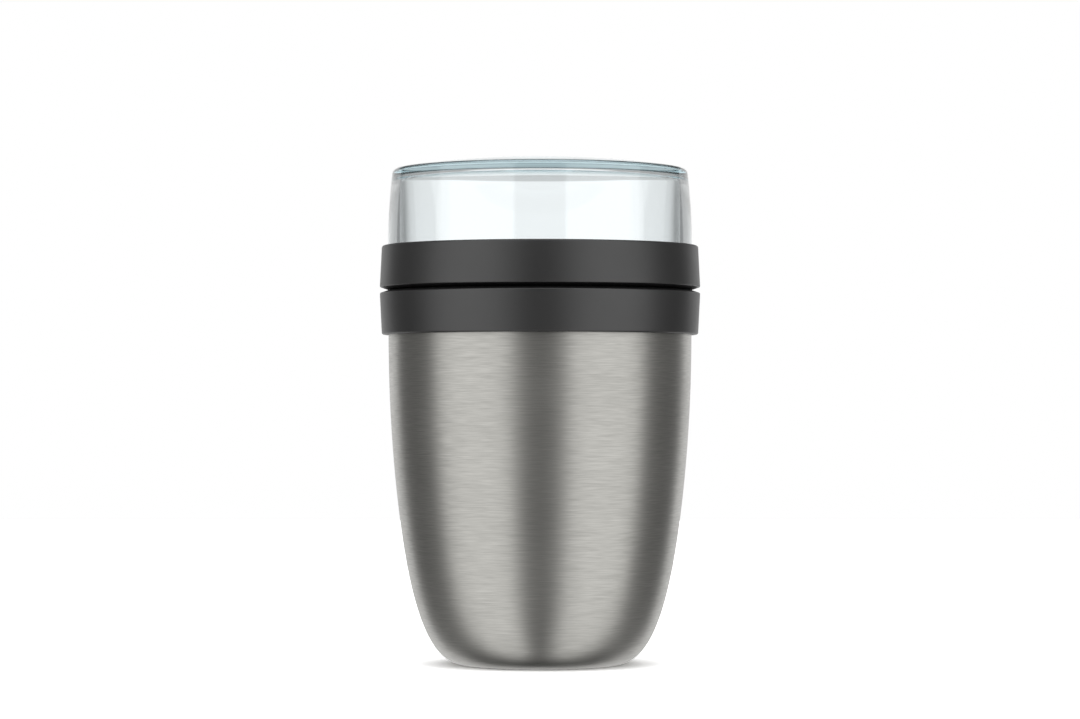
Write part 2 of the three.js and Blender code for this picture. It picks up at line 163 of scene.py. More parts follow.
def makeWorld():
    world = bpy.data.worlds.new("softStudio")
    scene.world = world
    world.use_nodes = True
    tree = world.node_tree
    tree.nodes.clear()

    # 0 below an angle and 1 above it, with a soft edge
    def above(angle, edge):
        degrees, soft = studio[edge]
        made = tree.nodes.new("ShaderNodeMapRange")
        made.interpolation_type = "SMOOTHSTEP"
        made.inputs["From Min"].default_value = math.radians(degrees - soft)
        made.inputs["From Max"].default_value = math.radians(degrees + soft)
        tree.links.new(angle, made.inputs["Value"])
        return made.outputs[0]

    def without(mask):
        return mathNode(tree, "SUBTRACT", 1.0, mask)

    def below(angle, edge):
        return without(above(angle, edge))

    def lit(level, *masks):
        for mask in masks:
            level = mathNode(tree, "MULTIPLY", level, mask)
        return level

    def mixed(mask, first, second):  # two levels of light
        return mixNode(tree, mask, studio[first], studio[second])

    sideways, away, up = splitNode(tree, tree.nodes.new("ShaderNodeTexCoord").outputs["Generated"])
    aside = mathNode(tree, "ABSOLUTE", sideways)
    towards = mathNode(tree, "MULTIPLY", away, -1.0)
    around = mathNode(tree, "ARCTAN2", aside, towards)  # from the camera's side
    behind = mathNode(tree, "ARCTAN2", aside, away)
    rise = mathNode(tree, "ARCSINE", up)
    steepness = mathNode(tree, "ABSOLUTE", rise)
    riseBehind = mathNode(tree, "ARCTAN2", up, away)

    # how often the light went through the clear cup's surfaces or bounced off them
    path = tree.nodes.new("ShaderNodeLightPath").outputs
    clear = mathNode(tree, "GREATER_THAN", path["Transmission Depth"], studio["inPlastic"])
    bothWalls = mathNode(tree, "GREATER_THAN", path["Transmission Depth"], studio["bothWalls"])
    oneWall = mathNode(tree, "SUBTRACT", clear, bothWalls)
    straight = lit(bothWalls, mathNode(tree, "LESS_THAN", path["Glossy Depth"], studio["bounced"]))
    many = mathNode(tree, "GREATER_THAN", path["Glossy Depth"], studio["bouncedTwice"])

    boxes = lit(studio["softbox"], above(around, "softboxFrom"), below(around, "softboxTo"),
                below(steepness, "softboxReach"))
    overhead = lit(studio["overhead"], above(rise, "overheadFrom"))
    front = lit(studio["frontFloor"], below(rise, "frontFloorFrom"), above(rise, "underFrom"))

    # the white card, smaller through clear walls
    level = below(rise, "clearUp")
    clearCard = lit(mixed(above(behind, "rimFrom"), "clearCard", "clearRim"), below(behind, "clearWide"))
    wide = mixNode(tree, clear, below(behind, "cardWide"), clearCard)
    high = mixNode(tree, clear, below(riseBehind, "cardUp"), level)
    card = lit(without(oneWall), wide, high, above(riseBehind, "cardDown"))

    # what the clear cup shows of the room
    beside = lit(above(behind, "sideFrom"), below(behind, "sideTo"))
    share = mixed(beside, "clearShare", "clearSide")
    through = mixNode(tree, level, studio["clearAbove"], share)
    backdrop = lit(bothWalls, mixNode(tree, straight, studio["clearBounced"], through))
    room = mixNode(tree, level, studio["clearDim"], mixed(below(rise, "lowAt"), "clearRoom", "clearLow"))
    grazing = lit(oneWall, without(many), below(behind, "roomWide"), room)
    plateLevel = mixed(below(rise, "plateUp"), "plateDim", "plateCard")
    plate = lit(oneWall, many, below(behind, "plateWide"), plateLevel)

    light = mixed(below(rise, "underFrom"), "dim", "under")
    for part in (boxes, card, overhead, backdrop, grazing, plate, front):
        light = mathNode(tree, "MAXIMUM", part, light)
    light = mixNode(tree, path["Is Camera Ray"], light, 1.0)
    sky = tree.nodes.new("ShaderNodeBackground")
    sky.inputs["Color"].default_value = (1, 1, 1, 1)
    tree.links.new(light, sky.inputs["Strength"])
    tree.links.new(sky.outputs[0], tree.nodes.new("ShaderNodeOutputWorld").inputs["Surface"])


def makeFloor():
    half = floorLook["size"] / 2
    corners = [(-half, -half, 0), (half, -half, 0), (half, half, 0), (-half, half, 0)]
    mesh = bpy.data.meshes.new("studioFloor")
    mesh.from_pydata(corners, [], [(0, 1, 2, 3)])
    floor = bpy.data.objects.new("studioFloor", mesh)
    floor.location.z = -floorLook["drop"]
    scene.collection.objects.link(floor)
    floor.visible_glossy = False  # the steel and the clear plastic show the studio round it
    floor.visible_transmission = False
    paper = bpy.data.materials.new("whitePaper")
    paper.use_nodes = True
    tree = paper.node_tree
    tree.nodes.clear()
    plain = tree.nodes.new("ShaderNodeBsdfDiffuse")
    plain.inputs["Color"].default_value = (floorLook["colour"],) * 3 + (1,)
    contact = tree.nodes.new("ShaderNodeAmbientOcclusion")  # deepens the shadow where the pot stands
    contact.inputs["Distance"].default_value = floorLook["contact"]
    shaded = floorLook["seen"] * (1 - floorLook["contactShade"])
    seen = tree.nodes.new("ShaderNodeBsdfDiffuse")
    tree.links.new(mixNode(tree, contact.outputs["AO"], shaded, floorLook["seen"]), seen.inputs["Color"])
    mix = tree.nodes.new("ShaderNodeMixShader")
    tree.links.new(tree.nodes.new("ShaderNodeLightPath").outputs["Is Camera Ray"], mix.inputs[0])
    tree.links.new(plain.outputs[0], mix.inputs[1])
    tree.links.new(seen.outputs[0], mix.inputs[2])
    tree.links.new(mix.outputs[0], tree.nodes.new("ShaderNodeOutputMaterial").inputs["Surface"])
    mesh.materials.append(paper)


scene.view_settings.view_transform = "Standard"
scene.cycles.glossy_bounces = studio["wallBounces"]
scene.cycles.max_bounces = studio["bounces"]
makeCamera()
makeWorld()
makeFloor()
print("studio ready")


# effects that several finishes use

wholeRange = (0.0, 1.0)


def newGroup(name, inputs, outputs):
    group = bpy.data.node_groups.new(name, "ShaderNodeTree")
    for label, value in inputs.items():
        socket = group.interface.new_socket(label, in_out="INPUT", socket_type="NodeSocketFloat")
        socket.default_value = value
    for label in outputs:
        group.interface.new_socket(label, in_out="OUTPUT", socket_type="NodeSocketFloat")
    return group, group.nodes.new("NodeGroupInput").outputs, group.nodes.new("NodeGroupOutput").inputs


def noiseNode(tree, vector, detail, roughness=0.5):
    made = tree.nodes.new("ShaderNodeTexNoise")
    made.inputs["Scale"].default_value = 1.0
    made.inputs["Detail"].default_value = detail
    made.inputs["Roughness"].default_value = roughness
    tree.links.new(vector, made.inputs["Vector"])
    return made.outputs[0]


# a value spread from one range over another, clamped
def rangeNode(tree, value, given, wanted=wholeRange):
    made = tree.nodes.new("ShaderNodeMapRange")
    feed(tree, made.inputs[:5], (value,) + given + wanted)
    return made.outputs[0]


# place on the piece, in millimetres or in steps of a size
def placeNode(tree, size=None):
    made = tree.nodes.new("ShaderNodeVectorMath")
    made.operation = "SCALE"
    made.inputs["Scale"].default_value = 1 / mm
    tree.links.new(tree.nodes.new("ShaderNodeTexCoord").outputs["Object"], made.inputs[0])
    if size is None:
        return made.outputs[0]
    shrink = tree.nodes.new("ShaderNodeVectorMath")
    shrink.operation = "SCALE"
    tree.links.new(made.outputs[0], shrink.inputs[0])
    tree.links.new(mathNode(tree, "DIVIDE", 1.0, size), shrink.inputs["Scale"])
    return shrink.outputs[0]


brushEffect = {
    "detail": (2.0, 1.0, 0.0),  # of the fine lines, the wide streaks and the rare scratches
    "fineShare": 0.85,
    "wideShare": 0.15,
    "wideSize": (3.0, 4.0),  # length and thickness, against the fine lines
    "rareSize": (1.6, 0.7),
    "shadeRange": (0.3, 0.7),
    "scratchRange": (0.70, 0.80),
}

grainEffect = {"detail": 2.0, "roughness": 0.6, "range": (0.3, 0.7)}
handlingEffect = {"detail": 3.0, "roughness": 0.55, "range": (0.42, 0.68)}
rubAndSheenEffect = {"detail": 3.0, "roughness": 0.6, "range": (0.35, 0.65), "strength": (0.2, 1.0)}


# lines left by a belt or a lathe tool, running round the pot's axis
def makeBrushGroup():
    sockets = {"Length": 9.0, "Thickness": 0.35}  # mm
    tree, given, out = newGroup("brushLines", sockets, ["Shade", "Scratch", "Height"])
    x, y, z = splitNode(tree, placeNode(tree))
    squares = mathNode(tree, "ADD", mathNode(tree, "MULTIPLY", x, x), mathNode(tree, "MULTIPLY", y, y))
    across = mathNode(tree, "ADD", z, mathNode(tree, "SQRT", squares))

    def stretched(lengthShare, thicknessShare):
        length = mathNode(tree, "MULTIPLY", given["Length"], lengthShare)
        thickness = mathNode(tree, "MULTIPLY", given["Thickness"], thicknessShare)
        join = tree.nodes.new("ShaderNodeCombineXYZ")
        for socket, value, size in zip(join.inputs, (x, y, across), (length, length, thickness)):
            tree.links.new(mathNode(tree, "DIVIDE", value, size), socket)
        return join.outputs[0]

    fineDetail, wideDetail, rareDetail = brushEffect["detail"]
    fine = noiseNode(tree, stretched(1.0, 1.0), fineDetail)
    wide = noiseNode(tree, stretched(*brushEffect["wideSize"]), wideDetail)
    rare = noiseNode(tree, stretched(*brushEffect["rareSize"]), rareDetail)
    shade = mathNode(tree, "ADD", mathNode(tree, "MULTIPLY", fine, brushEffect["fineShare"]),
                     mathNode(tree, "MULTIPLY", wide, brushEffect["wideShare"]))
    tree.links.new(rangeNode(tree, shade, brushEffect["shadeRange"]), out["Shade"])
    tree.links.new(rangeNode(tree, rare, brushEffect["scratchRange"]), out["Scratch"])
    tree.links.new(fine, out["Height"])
    return tree


# fine even grain of a spark-eroded mould, or the skin of rubber
def makeGrainGroup():
    tree, given, out = newGroup("mouldGrain", {"Size": 0.3}, ["Shade", "Height"])
    grain = noiseNode(tree, placeNode(tree, given["Size"]), grainEffect["detail"], grainEffect["roughness"])
    tree.links.new(rangeNode(tree, grain, grainEffect["range"]), out["Shade"])
    tree.links.new(grain, out["Height"])
    return tree


# soft patches where hands have been
def makeHandlingGroup():
    tree, given, out = newGroup("handling", {"Size": 18.0}, ["Mask"])
    place = placeNode(tree, given["Size"])
    patches = noiseNode(tree, place, handlingEffect["detail"], handlingEffect["roughness"])
    tree.links.new(rangeNode(tree, patches, handlingEffect["range"]), out["Mask"])
    return tree


# a band round the piece at one height, at an edge that hands rub: its mask makes the edge smoother and
# lightens its colour, partly as wear and partly as a painted sheen
def makeRimGroup():
    tree, given, out = newGroup("rimRubAndSheen", {"Level": 0.0, "Reach": 0.6}, ["Mask"])
    place = placeNode(tree)
    gap = mathNode(tree, "ABSOLUTE", mathNode(tree, "SUBTRACT", splitNode(tree, place)[2], given["Level"]))
    near = mathNode(tree, "SUBTRACT", 1.0, mathNode(tree, "DIVIDE", gap, given["Reach"]))
    near.node.use_clamp = True
    wornAndSheen = noiseNode(tree, place, rubAndSheenEffect["detail"], rubAndSheenEffect["roughness"])
    strength = rangeNode(tree, wornAndSheen, rubAndSheenEffect["range"], rubAndSheenEffect["strength"])
    tree.links.new(mathNode(tree, "MULTIPLY", near, strength), out["Mask"])
    return tree


brushGroup = makeBrushGroup()
grainGroup = makeGrainGroup()
handlingGroup = makeHandlingGroup()
rimGroup = makeRimGroup()
print("effects ready")


# finishes, with lengths in millimetres

socketNames = {
    "baseColor": "Base Color",
    "metallic": "Metallic",
    "ior": "IOR",
    "specular": "Specular IOR Level",
    "anisotropic": "Anisotropic",
    "anisotropicRotation": "Anisotropic Rotation",
    "transmission": "Transmission Weight",
}


def newFinish(name, **sockets):
    finish = bpy.data.materials.new(name)
    finish.use_nodes = True
    shader = finish.node_tree.nodes["Principled BSDF"]
    for label, value in sockets.items():
        shader.inputs[socketNames[label]].default_value = value
    return finish, finish.node_tree, shader


def placeGroup(tree, group, **values):
    made = tree.nodes.new("ShaderNodeGroup")
    made.node_tree = group
    for label, value in values.items():
        made.inputs[label.capitalize()].default_value = value
    return made.outputs


def colourMix(tree, share, first, second):
    made = tree.nodes.new("ShaderNodeMix")
    made.data_type = "RGBA"
    tree.links.new(share, made.inputs[0])
    for socket, value in zip(made.inputs[6:8], (first, second)):
        if isinstance(value, tuple):
            socket.default_value = value + (1,)
        else:
            tree.links.new(value, socket)
    return made.outputs[2]


def addBump(tree, shader, height, look):
    bump = tree.nodes.new("ShaderNodeBump")
    bump.inputs["Strength"].default_value = look["bump"]
    bump.inputs["Distance"].default_value = look["bumpDepth"] * mm
    tree.links.new(height, bump.inputs["Height"])
    tree.links.new(bump.outputs[0], shader.inputs["Normal"])


brushedLook = {
    "dark": (0.409, 0.403, 0.380),
    "light": (0.530, 0.522, 0.493),
    "scratch": (0.585, 0.58, 0.552),
    "scratchShare": 0.6,
    "length": 7.0,  # of the brush lines
    "thickness": 0.26,
    "smooth": 0.34,
    "rough": 0.41,
    "hands": 22.0,
    "handsRough": 0.03,
    "anisotropic": 0.5,
    "brushTurn": 0.25,  # a quarter turn, so that highlights spread up the side
    "bump": 0.25,
    "bumpDepth": 0.02,
}

innerLook = {
    **brushedLook,
    "dark": (0.46, 0.46, 0.44),
    "light": (0.54, 0.54, 0.52),
    "length": 30.0,
    "thickness": 0.5,
    "smooth": 0.22,
    "rough": 0.28,
}


def makeBrushedSteel(name, look):
    finish, tree, shader = newFinish(name, metallic=1.0, anisotropic=look["anisotropic"],
                                     anisotropicRotation=look["brushTurn"])
    lines = placeGroup(tree, brushGroup, length=look["length"], thickness=look["thickness"])
    hands = placeGroup(tree, handlingGroup, size=look["hands"])
    colour = colourMix(tree, lines["Shade"], look["dark"], look["light"])
    scratched = mathNode(tree, "MULTIPLY", lines["Scratch"], look["scratchShare"])
    tree.links.new(colourMix(tree, scratched, colour, look["scratch"]), shader.inputs["Base Color"])
    rough = rangeNode(tree, lines["Shade"], wholeRange, (look["rough"], look["smooth"]))
    handled = mathNode(tree, "MULTIPLY", hands["Mask"], look["handsRough"])
    tree.links.new(mathNode(tree, "ADD", rough, handled), shader.inputs["Roughness"])
    addBump(tree, shader, lines["Height"], look)
    tangent = tree.nodes.new("ShaderNodeTangent")
    tangent.direction_type = "RADIAL"
    tangent.axis = "Z"
    tree.links.new(tangent.outputs[0], shader.inputs["Tangent"])
    return finish


blackLook = {
    "dark": (0.0065, 0.0065, 0.0067),
    "light": (0.0105, 0.0105, 0.0108),
    # the lighter colour at that edge: partly wear, partly a painted sheen
    "wornAndSheen": (0.020, 0.020, 0.021),
    "specular": 0.85,
    "ior": 1.58,
    "grain": 0.28,
    "smooth": 0.40,
    "rough": 0.47,
    "hands": 16.0,
    "handsSmooth": 0.03,
    "rubAndSheenReach": 0.5,  # round the edge that hands rub
    "rubAndSheenShare": 0.5,
    "rubSmooth": 0.06,
    "bump": 0.2,
    "bumpDepth": 0.02,
}


def makeBlackPlastic(name, rubAndSheenLevel):
    look = blackLook
    finish, tree, shader = newFinish(name, specular=look["specular"], ior=look["ior"])
    grain = placeGroup(tree, grainGroup, size=look["grain"])
    hands = placeGroup(tree, handlingGroup, size=look["hands"])
    rim = placeGroup(tree, rimGroup, level=rubAndSheenLevel, reach=look["rubAndSheenReach"])
    colour = colourMix(tree, grain["Shade"], look["dark"], look["light"])
    # the edge's lighter colour is partly wear and partly a painted sheen
    rubbedAndSheen = mathNode(tree, "MULTIPLY", rim["Mask"], look["rubAndSheenShare"])
    tree.links.new(colourMix(tree, rubbedAndSheen, colour, look["wornAndSheen"]), shader.inputs["Base Color"])
    rough = rangeNode(tree, grain["Shade"], wholeRange, (look["smooth"], look["rough"]))
    for mask, smoother in ((hands["Mask"], look["handsSmooth"]), (rim["Mask"], look["rubSmooth"])):
        rough = mathNode(tree, "SUBTRACT", rough, mathNode(tree, "MULTIPLY", mask, smoother))
    tree.links.new(rough, shader.inputs["Roughness"])
    addBump(tree, shader, grain["Height"], look)
    return finish


clearLook = {
    "tint": (0.977, 0.9955, 1.0, 1.0),
    "ior": 1.5,
    "absorb": (0.0, 0.56, 0.71, 1.0),  # what passes, the rest is taken out with the length of the path
    "density": 4.1,  # per metre
    "smooth": 0.0,
    "rough": 0.003,
    "hands": 14.0,
}


def makeClearPlastic(name):
    look = clearLook
    finish, tree, shader = newFinish(name, baseColor=look["tint"], transmission=1.0, ior=look["ior"])
    hands = placeGroup(tree, handlingGroup, size=look["hands"])
    rough = rangeNode(tree, hands["Mask"], wholeRange, (look["smooth"], look["rough"]))
    tree.links.new(rough, shader.inputs["Roughness"])
    tint = tree.nodes.new("ShaderNodeVolumeAbsorption")
    tint.inputs["Color"].default_value = look["absorb"]
    tint.inputs["Density"].default_value = look["density"]
    tree.links.new(tint.outputs[0], tree.nodes["Material Output"].inputs["Volume"])
    return finish


# finishes with one grain
grainedLook = {"handsGrains": 30, "handsSmooth": 0.04, "bump": 0.3, "metallic": 0.0}

rubberLook = {
    **grainedLook,
    "dark": (0.60, 0.60, 0.58),
    "light": (0.70, 0.70, 0.68),
    "grain": 0.4,
    "smooth": 0.50,
    "rough": 0.62,
    "bumpDepth": 0.02,
}

foilLook = {
    **grainedLook,
    "dark": (0.50, 0.22, 0.11),
    "light": (0.68, 0.34, 0.19),
    "grain": 1.2,
    "smooth": 0.22,
    "rough": 0.36,
    "bumpDepth": 0.05,
    "metallic": 1.0,
}

foamLook = {
    **grainedLook,
    "dark": (0.72, 0.70, 0.64),
    "light": (0.88, 0.86, 0.80),
    "grain": 0.8,
    "smooth": 0.85,
    "rough": 0.98,
    "bumpDepth": 0.15,
}

pelletLook = {
    **grainedLook,
    "dark": (0.13, 0.13, 0.14),
    "light": (0.22, 0.22, 0.23),
    "grain": 0.25,
    "smooth": 0.70,
    "rough": 0.90,
    "bumpDepth": 0.04,
    "metallic": 0.4,
}

glassLook = {
    **grainedLook,
    "dark": (0.25, 0.29, 0.26),
    "light": (0.35, 0.39, 0.36),
    "grain": 0.6,
    "smooth": 0.16,
    "rough": 0.30,
    "bumpDepth": 0.02,
}


def makeGrained(name, look):
    finish, tree, shader = newFinish(name, metallic=look["metallic"])
    grain = placeGroup(tree, grainGroup, size=look["grain"])
    hands = placeGroup(tree, handlingGroup, size=look["grain"] * look["handsGrains"])
    tree.links.new(colourMix(tree, grain["Shade"], look["dark"], look["light"]), shader.inputs["Base Color"])
    rough = rangeNode(tree, grain["Shade"], wholeRange, (look["smooth"], look["rough"]))
    handled = mathNode(tree, "MULTIPLY", hands["Mask"], look["handsSmooth"])
    tree.links.new(mathNode(tree, "SUBTRACT", rough, handled), shader.inputs["Roughness"])
    addBump(tree, shader, grain["Height"], look)
    return finish


brushedSteel = makeBrushedSteel("brushedSteel", brushedLook)
innerSteel = makeBrushedSteel("innerSteel", innerLook)
clearPlastic = makeClearPlastic("clearPlastic")
rubber = makeGrained("siliconeRubber", rubberLook)
copperFoil = makeGrained("copperFoil", foilLook)
foam = makeGrained("whiteFoam", foamLook)
pellet = makeGrained("getterPellet", pelletLook)
sealGlass = makeGrained("sealGlass", glassLook)
print("finishes ready")


# turned shapes

turning = {
    "segments": 192,
    "cupSegments": 256,
    "roundSteps": 7,
    "sharp": 32.0,  # edges over this many degrees stay crisp
    "onAxis": 1e-6,  # mm
    "weld": 1e-7,  # metres
}


# points of a section from corners (radius, level, rounding), in millimetres
def rounded(corners, steps=turning["roundSteps"]):
    points = []
    for i, (r, z, rounding) in enumerate(corners):
        if not rounding:
            points.append((r, z))
            continue
        before = corners[i - 1]
        after = corners[(i + 1) % len(corners)]
        inX, inY = before[0] - r, before[1] - z
        outX, outY = after[0] - r, after[1] - z
        inLength, outLength = math.hypot(inX, inY), math.hypot(outX, outY)
        inX, inY, outX, outY = inX / inLength, inY / inLength, outX / outLength, outY / outLength
        half = math.acos(max(-1.0, min(1.0, inX * outX + inY * outY))) / 2
        reach = rounding / math.tan(half)
        middle = rounding / math.sin(half)
        towards = math.hypot(inX + outX, inY + outY)
        centreX = r + (inX + outX) / towards * middle
        centreY = z + (inY + outY) / towards * middle
        start = math.atan2(z + inY * reach - centreY, r + inX * reach - centreX)
        end = math.atan2(z + outY * reach - centreY, r + outX * reach - centreX)
        turn = (end - start + math.pi) % (2 * math.pi) - math.pi
        for k in range(steps + 1):
            angle = start + turn * k / steps
            points.append((centreX + rounding * math.cos(angle), centreY + rounding * math.sin(angle)))
    return points


# a point of a curve, from the points that pull it and the share of each
def pulled(shares, points):
    return tuple(sum(share * point[axis] for share, point in zip(shares, points)) for axis in (0, 1))


# a place in metres from millimetres and an angle about the pot's axis
def spot(r, angle, z):
    return r * mm * math.cos(angle), r * mm * math.sin(angle), z * mm


def smoothFaces(mesh):
    shape = bmesh.new()
    shape.from_mesh(mesh)
    for face in shape.faces:
        face.smooth = True
    for edge in shape.edges:
        edge.smooth = edge.calc_face_angle(0) < math.radians(turning["sharp"])
    shape.to_mesh(mesh)
    shape.free()


def newPiece(name, shape):
    bmesh.ops.recalc_face_normals(shape, faces=shape.faces)
    mesh = bpy.data.meshes.new(name)
    shape.to_mesh(mesh)
    shape.free()
    made = bpy.data.objects.new(name, mesh)
    scene.collection.objects.link(made)
    return made


# a closed section turned about the pot's axis; a section that starts and ends on the axis gives a solid
def turned(name, section, segments=turning["segments"]):
    shape = bmesh.new()
    rings = []
    for r, z in section:
        if r < turning["onAxis"]:
            rings.append([shape.verts.new((0, 0, z * mm))])
            continue
        rings.append([shape.verts.new(spot(r, 2 * math.pi * k / segments, z)) for k in range(segments)])
    for low, high in zip(rings, rings[1:] + rings[:1]):
        if len(low) == 1 and len(high) == 1:
            continue
        for k in range(segments):
            n = (k + 1) % segments
            corners = [low[k % len(low)], low[n % len(low)], high[n % len(high)], high[k % len(high)]]
            shape.faces.new(list(dict.fromkeys(corners)))
    bmesh.ops.remove_doubles(shape, verts=shape.verts, dist=turning["weld"])
    made = newPiece(name, shape)
    smoothFaces(made.data)
    return made


# screw ridges, with the same starts, lead and places as the frame's

screw = {
    "starts": 4,
    "innerShift": 0.5,  # inner ridges lie halfway between the outer ones
    "lead": 18.0,  # mm
    "width": 1.8,
    "margin": 0.3,
    "root": 0.4,  # how deep a ridge stands in its wall
    "crest": 0.45,  # share of the width
    "crestWide": 0.75,  # against the crest, so that its edges are blunt
    "shoulderWide": 1.25,
    "shoulder": 0.86,  # share of the height
    "runOut": 14.0,  # degrees
    "endHeight": 0.3,
    "endEase": 0.6,
    "stepTurn": 2.5,
    "leastSteps": 12,
}


def ridges(name, wall, crest, bottom, top, inner):
    half = screw["width"] / 2
    tip = half * screw["crest"]
    crestHalf, shoulderHalf = tip * screw["crestWide"], tip * screw["shoulderWide"]
    root = wall + math.copysign(screw["root"], wall - crest)
    low = bottom + screw["margin"] + half
    rise = top - screw["margin"] - half - low
    sweep = rise / screw["lead"] * 2 * math.pi
    steps = max(screw["leastSteps"], round(math.degrees(sweep) / screw["stepTurn"]))
    shape = bmesh.new()
    for start in range(screw["starts"]):
        first = (start + (screw["innerShift"] if inner else 0.0)) * 2 * math.pi / screw["starts"]
        rows = []
        for k in range(steps + 1):
            angle = first + sweep * k / steps
            level = low + rise * k / steps
            toEnd = math.degrees(sweep) * min(k, steps - k) / steps / screw["runOut"]
            full = screw["endHeight"] + (1 - screw["endHeight"]) * min(1.0, toEnd) ** screw["endEase"]
            reach = root + (crest - root) * full
            shoulder = root + (crest - root) * full * screw["shoulder"]
            section = ((root, -half), (shoulder, -shoulderHalf), (reach, -crestHalf),
                       (reach, crestHalf), (shoulder, shoulderHalf), (root, half))
            rows.append([shape.verts.new(spot(r, angle, level + dz)) for r, dz in section])
        sides = len(rows[0])
        for one, two in zip(rows, rows[1:]):
            for j in range(sides):
                n = (j + 1) % sides
                shape.faces.new((one[j], two[j], two[n], one[n]))
        shape.faces.new(rows[0])
        shape.faces.new(rows[-1])
    return newPiece(name, shape)


# the ridges become one skin with their piece
def joinRidges(base, *additions):
    for other in additions:
        join = base.modifiers.new("join", "BOOLEAN")
        join.operation = "UNION"
        join.solver = "EXACT"
        join.object = other
    whole = bpy.data.meshes.new_from_object(base.evaluated_get(bpy.context.evaluated_depsgraph_get()))
    base.modifiers.clear()
    base.data = whole
    for other in additions:
        bpy.data.objects.remove(other)
    smoothFaces(whole)


def fit(piece, finish, body, node):
    piece.data.materials.clear()
    piece.data.materials.append(finish)
    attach(piece, body)
    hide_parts(node)


# steel pot

potRadius = spanOf("outer_shell")[0]
collarLow, collarHigh = spanOf("collar")[1:]

pot = {
    "upright": collarLow + 0.6,  # the side is upright here, at the collar's lower edge
    "halfHeight": 167.0,  # half height of the ellipse that the side follows
    "footStart": 45.0,
    "footRadius": 26.0,
    "footFlat": 5.0,
    "footRound": 0.35,
    "sidePull": 0.77,
    "floorPull": 0.42,
    "wall": 0.6,
    "grooveDepth": 0.7,  # rolled groove that holds the collar
    "grooveLevel": 115.6,
    "grooveHalf": 0.9,
    "grooveSteps": 6,
    "sideSteps": 36,
    "footSteps": 48,
}

vessel = {
    "inset": 4.6,  # from the outside of the steel in to the inner wall
    "wall": 0.5,
    "flat": 24.0,
    "lip": 0.5,
    "lipRound": 0.2,
    "mouthRound": 0.22,
    "lipStart": 2.0,  # below the lip, where its roundings take their direction
}


def sideRadius(level):
    share = (pot["upright"] - level) / pot["halfHeight"]
    return potRadius * math.sqrt(1 - share * share)


def sideCurve(inset):
    levels = [pot["footStart"] + (pot["upright"] - pot["footStart"]) * k / pot["sideSteps"]
              for k in range(1, pot["sideSteps"] + 1)]
    return [(sideRadius(level) - inset, level) for level in levels]


def footCurve(inset, floor, flat):
    side = sideRadius(pot["footStart"])
    slope = (potRadius / pot["halfHeight"]) ** 2 * (pot["upright"] - pot["footStart"]) / side
    drop = pot["sidePull"] * (pot["footStart"] - floor)
    side -= inset
    pull = ((flat, floor), (flat + pot["floorPull"] * (side - flat), floor),
            (side - slope * drop, pot["footStart"] - drop), (side, pot["footStart"]))
    curve = []
    for k in range(pot["footSteps"] + 1):
        t = k / pot["footSteps"]
        shares = ((1 - t) ** 3, 3 * t * (1 - t) ** 2, 3 * t * t * (1 - t), t ** 3)
        curve.append(pulled(shares, pull))
    return curve


def neckGroove(radius):
    steps = pot["grooveSteps"]
    return [(radius - pot["grooveDepth"] / 2 * (1 + math.cos(math.pi * k / steps)),
             pot["grooveLevel"] + pot["grooveHalf"] * k / steps) for k in range(-steps, steps + 1)]


def makePot():
    neckTop = spanOf("outer_shell")[2]
    rim = pot["footRadius"] - pot["footFlat"]
    rimTop = spanOf("outer_bottom")[2]
    wall = pot["wall"]
    outside = footCurve(0, 0, pot["footRadius"]) + sideCurve(0) + neckGroove(potRadius)
    inside = footCurve(wall, wall, pot["footRadius"]) + sideCurve(wall) + neckGroove(potRadius - wall)
    neckEdge = [(potRadius, neckTop), (potRadius - wall, neckTop)]
    foot = rounded([
        (rim + wall, wall, 0),
        (rim + wall, rimTop, 0),
        (rim, rimTop, 0),
        (rim, 0, pot["footRound"]),
        (pot["footRadius"], 0, 0),
    ])[:-1]
    shell = turned("steelShell", outside + neckEdge + inside[::-1] + foot)
    fit(shell, brushedSteel, "pot", "outer_shell")

    lipRadius, vesselFloor, lipTop = spanOf("inner_vessel")
    lipBottom = lipTop - vessel["lip"]
    inset, thick = vessel["inset"], vessel["wall"]
    outer = potRadius - inset
    mouth = outer - thick
    under = [(0, vesselFloor)] + footCurve(inset, vesselFloor, vessel["flat"]) + sideCurve(inset)
    lip = rounded([
        (outer, lipBottom - vessel["lipStart"], 0),
        (outer, lipBottom, 0),
        (lipRadius, lipBottom, vessel["lipRound"]),
        (lipRadius, lipTop, vessel["lipRound"]),
        (mouth, lipTop, vessel["mouthRound"]),
        (mouth, lipTop - vessel["lipStart"], 0),
    ])[1:-1]
    bowl = footCurve(inset + thick, vesselFloor + thick, vessel["flat"]) + sideCurve(inset + thick)
    inner = turned("steelVessel", under + lip + bowl[::-1] + [(0, vesselFloor + thick)])
    fit(inner, innerSteel, "pot", "inner_vessel")


baseDisc = {
    "chamfer": 0.3,
    "round": 0.1,
    "dish": 14.0,
    "dishDepth": 0.15,
    "dishSlope": 0.3,
    "gate": 1.6,  # mark of the moulding gate
    "gateDepth": 0.15,
    "gateSlope": 0.2,
}


def makeBase():
    radius, low, high = spanOf("base_cover")
    dish, gate, soft, chamfer = baseDisc["dish"], baseDisc["gate"], baseDisc["round"], baseDisc["chamfer"]
    dished = low + baseDisc["dishDepth"]
    gateFloor = dished + baseDisc["gateDepth"]
    section = rounded([
        (0, gateFloor, 0),
        (gate, gateFloor, 0),
        (gate + baseDisc["gateSlope"], dished, 0),
        (dish, dished, soft),
        (dish + baseDisc["dishSlope"], low, soft),
        (radius - chamfer, low, soft),
        (radius, low + chamfer, soft),
        (radius, high, 0),
        (0, high, 0),
    ])
    plastic = makeBlackPlastic("basePlastic", low)
    fit(turned("baseDisc", section), plastic, "pot", "base_cover")


makePot()
makeBase()
print("steel pot done")


# black rings

ring = {
    "proud": 55.0,
    "edge": 54.3,  # radius at the edge away from the groove
    "edgeRound": 0.8,
    "groove": 52.3,
    "grooveRise": 0.9,
    "grooveRound": 0.25,
    "lipRound": 0.5,  # where the ring turns into the groove
    "gap": 0.3,  # between the two rings
}

